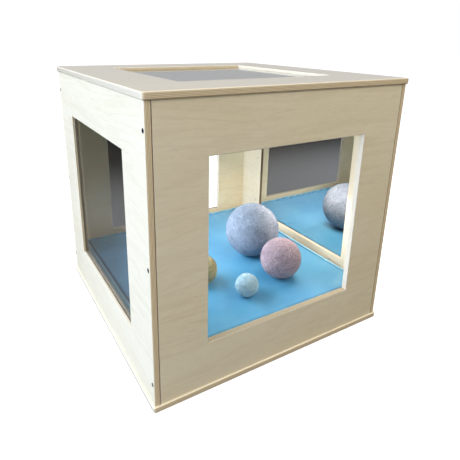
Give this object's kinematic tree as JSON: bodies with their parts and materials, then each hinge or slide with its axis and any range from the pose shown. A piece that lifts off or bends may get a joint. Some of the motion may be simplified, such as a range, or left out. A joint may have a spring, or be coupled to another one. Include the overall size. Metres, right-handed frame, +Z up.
{
  "type": "mirror play cube",
  "caption": "Open plywood play cube with square windows front and back, one-way mirror panes in its sides and top, a padded floor mat, and felt balls inside.",
  "frame": {"origin": "centre of the base board's underside, on the floor", "axes": "+Z up; -Y out of the front window; +X to the right, out of the right mirror pane"},
  "size_m": [0.7, 0.7, 0.69],
  "materials": {
    "ply_board": "gloss",
    "ply_panel": "satin",
    "ply_strip": "satin",
    "beech_dowel": "matte",
    "mirror_acrylic": "polished",
    "black_screw": "satin",
    "zinc_screw": "satin",
    "foam": "matte",
    "mat_vinyl": "satin",
    "mat_underside": "matte",
    "zip_tape": "matte",
    "zip_metal": "satin",
    "felt_blue": "matte",
    "felt_pink": "matte",
    "felt_yellow": "matte",
    "felt_mint": "matte"
  },
  "bodies": {
    "cube": {"back_panel": "ply_panel", "base_board": "ply_board", "base_screws": "black_screw", "front_panel": "ply_panel", "left_front_screws": "black_screw", "left_mirror_pane": "mirror_acrylic", "left_panel": "ply_panel", "left_rear_screws": "black_screw", "left_strip_bottom": "ply_strip", "left_strip_front": "ply_strip", "left_strip_rear": "ply_strip", "left_strip_screws": "zinc_screw", "left_strip_top": "ply_strip", "right_front_screws": "black_screw", "right_mirror_pane": "mirror_acrylic", "right_panel": "ply_panel", "right_rear_screws": "black_screw", "right_strip_bottom": "ply_strip", "right_strip_front": "ply_strip", "right_strip_rear": "ply_strip", "right_strip_screws": "zinc_screw", "right_strip_top": "ply_strip", "top_board": "ply_board", "top_dowels": "beech_dowel", "top_mirror_pane": "mirror_acrylic", "top_strip_front": "ply_strip", "top_strip_left": "ply_strip", "top_strip_rear": "ply_strip", "top_strip_right": "ply_strip", "top_strip_screws": "zinc_screw"},
    "mat": {"mat_base_sheet": "mat_underside", "mat_core": "foam", "mat_cover": "mat_vinyl", "mat_zip": "zip_tape", "mat_zip_slider": "zip_metal"},
    "ball_blue": {"felt_ball_blue": "felt_blue"},
    "ball_pink": {"felt_ball_pink": "felt_pink"},
    "ball_yellow": {"felt_ball_yellow": "felt_yellow"},
    "ball_mint": {"felt_ball_mint": "felt_mint"}
  },
  "joints": [
    {"name": "mat_lift", "type": "slide", "parent": "cube", "child": "mat", "axis": [0, 0, 1], "range_m": [0, 0.08]},
    {"name": "ball_blue_lift", "type": "slide", "parent": "mat", "child": "ball_blue", "axis": [0, 0, 1], "range_m": [0, 0.25]},
    {"name": "ball_pink_lift", "type": "slide", "parent": "mat", "child": "ball_pink", "axis": [0, 0, 1], "range_m": [0, 0.25]},
    {"name": "ball_yellow_lift", "type": "slide", "parent": "mat", "child": "ball_yellow", "axis": [0, 0, 1], "range_m": [0, 0.25]},
    {"name": "ball_mint_lift", "type": "slide", "parent": "mat", "child": "ball_mint", "axis": [0, 0, 1], "range_m": [0, 0.25]}
  ]
}
